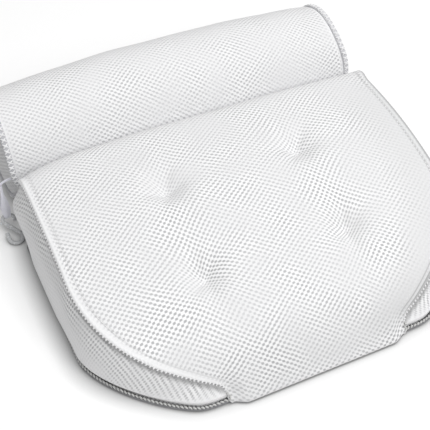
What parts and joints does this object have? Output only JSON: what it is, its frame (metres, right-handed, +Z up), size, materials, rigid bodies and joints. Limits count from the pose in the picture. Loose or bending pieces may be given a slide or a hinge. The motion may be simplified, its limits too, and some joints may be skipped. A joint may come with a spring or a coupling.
{
  "type": "bath pillow",
  "caption": "Soft bath pillow: a tufted wedge pad of white spacer mesh with a neck roll sewn on along a fold, suction cups underneath and a ribbon loop with a hook.",
  "frame": {"origin": "on the floor plane under the suction cups, at the middle of the pillow's width, hook included, and of its depth", "axes": "+Z up from the floor, +Y from the low front edge of the pad toward the neck roll, +X across the pillow to the right as seen from its front edge"},
  "size_m": [0.382, 0.3857, 0.1148],
  "materials": {
    "spacer_mesh": "white open-hole spacer mesh",
    "seam_edging": "white stitched cloth edge",
    "fibre_wadding": "loose white polyester fibre",
    "sewing_thread": "white thread",
    "clear_vinyl": "clear soft vinyl",
    "clear_plastic": "pale translucent plastic",
    "satin_ribbon": "pale satin"
  },
  "bodies": {
    "pad": {"pad_top_cover": "spacer_mesh", "pad_base_panel": "spacer_mesh", "pad_filling": "fibre_wadding", "side_panel_left": "spacer_mesh", "side_panel_right": "spacer_mesh", "back_panel": "spacer_mesh", "base_binding": "seam_edging", "top_seam_lip_left": "seam_edging", "top_seam_lip_right": "seam_edging", "fold_seam_cord": "seam_edging", "tuft_tie_rear_left": "sewing_thread", "tuft_tie_rear_right": "sewing_thread", "tuft_tie_front_left": "sewing_thread", "tuft_tie_front_right": "sewing_thread", "cup_eyelet_pad_rear_left": "clear_plastic", "cup_eyelet_pad_rear_right": "clear_plastic", "cup_eyelet_pad_front_left": "clear_plastic", "cup_eyelet_pad_front_right": "clear_plastic", "cup_washer_pad_rear_left": "clear_plastic", "cup_washer_pad_rear_right": "clear_plastic", "cup_washer_pad_front_left": "clear_plastic", "cup_washer_pad_front_right": "clear_plastic"},
    "roll": {"roll_cover": "spacer_mesh", "roll_filling": "fibre_wadding", "roll_end_left": "spacer_mesh", "roll_end_right": "spacer_mesh", "roll_end_piping_left": "seam_edging", "roll_end_piping_right": "seam_edging", "hang_loop_tab": "satin_ribbon", "cup_eyelet_roll_left": "clear_plastic", "cup_eyelet_roll_right": "clear_plastic", "cup_washer_roll_left": "clear_plastic", "cup_washer_roll_right": "clear_plastic"},
    "ribbon": {"hang_ribbon": "satin_ribbon"},
    "hook": {"hang_hook": "clear_plastic"},
    "cup_pad_rear_left": {"suction_cup_pad_rear_left": "clear_vinyl"},
    "cup_pad_rear_right": {"suction_cup_pad_rear_right": "clear_vinyl"},
    "cup_pad_front_left": {"suction_cup_pad_front_left": "clear_vinyl"},
    "cup_pad_front_right": {"suction_cup_pad_front_right": "clear_vinyl"},
    "cup_roll_left": {"suction_cup_roll_left": "clear_vinyl"},
    "cup_roll_right": {"suction_cup_roll_right": "clear_vinyl"}
  },
  "joints": [
    {"name": "roll_fold", "type": "hinge", "parent": "pad", "child": "roll", "pos_m": [0, 0.0794, 0.066], "axis": [1, 0, 0], "range_deg": [-8, 35]},
    {"name": "cup_turn_pad_rear_left", "type": "hinge", "parent": "pad", "child": "cup_pad_rear_left", "pos_m": [-0.11905, 0.0183, 0], "axis": [0, 0, 1], "continuous": true},
    {"name": "cup_turn_pad_rear_right", "type": "hinge", "parent": "pad", "child": "cup_pad_rear_right", "pos_m": [0.13095, 0.0183, 0], "axis": [0, 0, 1], "continuous": true},
    {"name": "cup_turn_pad_front_left", "type": "hinge", "parent": "pad", "child": "cup_pad_front_left", "pos_m": [-0.10605, -0.118, 0], "axis": [0, 0, 1], "continuous": true},
    {"name": "cup_turn_pad_front_right", "type": "hinge", "parent": "pad", "child": "cup_pad_front_right", "pos_m": [0.11795, -0.118, 0], "axis": [0, 0, 1], "continuous": true},
    {"name": "cup_turn_roll_left", "type": "hinge", "parent": "roll", "child": "cup_roll_left", "pos_m": [-0.10405, 0.13515, 0], "axis": [0, 0, 1], "continuous": true},
    {"name": "cup_turn_roll_right", "type": "hinge", "parent": "roll", "child": "cup_roll_right", "pos_m": [0.11595, 0.13515, 0], "axis": [0, 0, 1], "continuous": true},
    {"name": "ribbon_swing", "type": "hinge", "parent": "roll", "child": "ribbon", "pos_m": [-0.18355, 0.0888, 0.04646], "axis": [1, 0, 0], "range_deg": [0, 75]},
    {"name": "hook_swing", "type": "hinge", "parent": "ribbon", "child": "hook", "pos_m": [-0.18355, 0.0888, 0.009], "axis": [1, 0, 0], "range_deg": [-30, 75]}
  ]
}
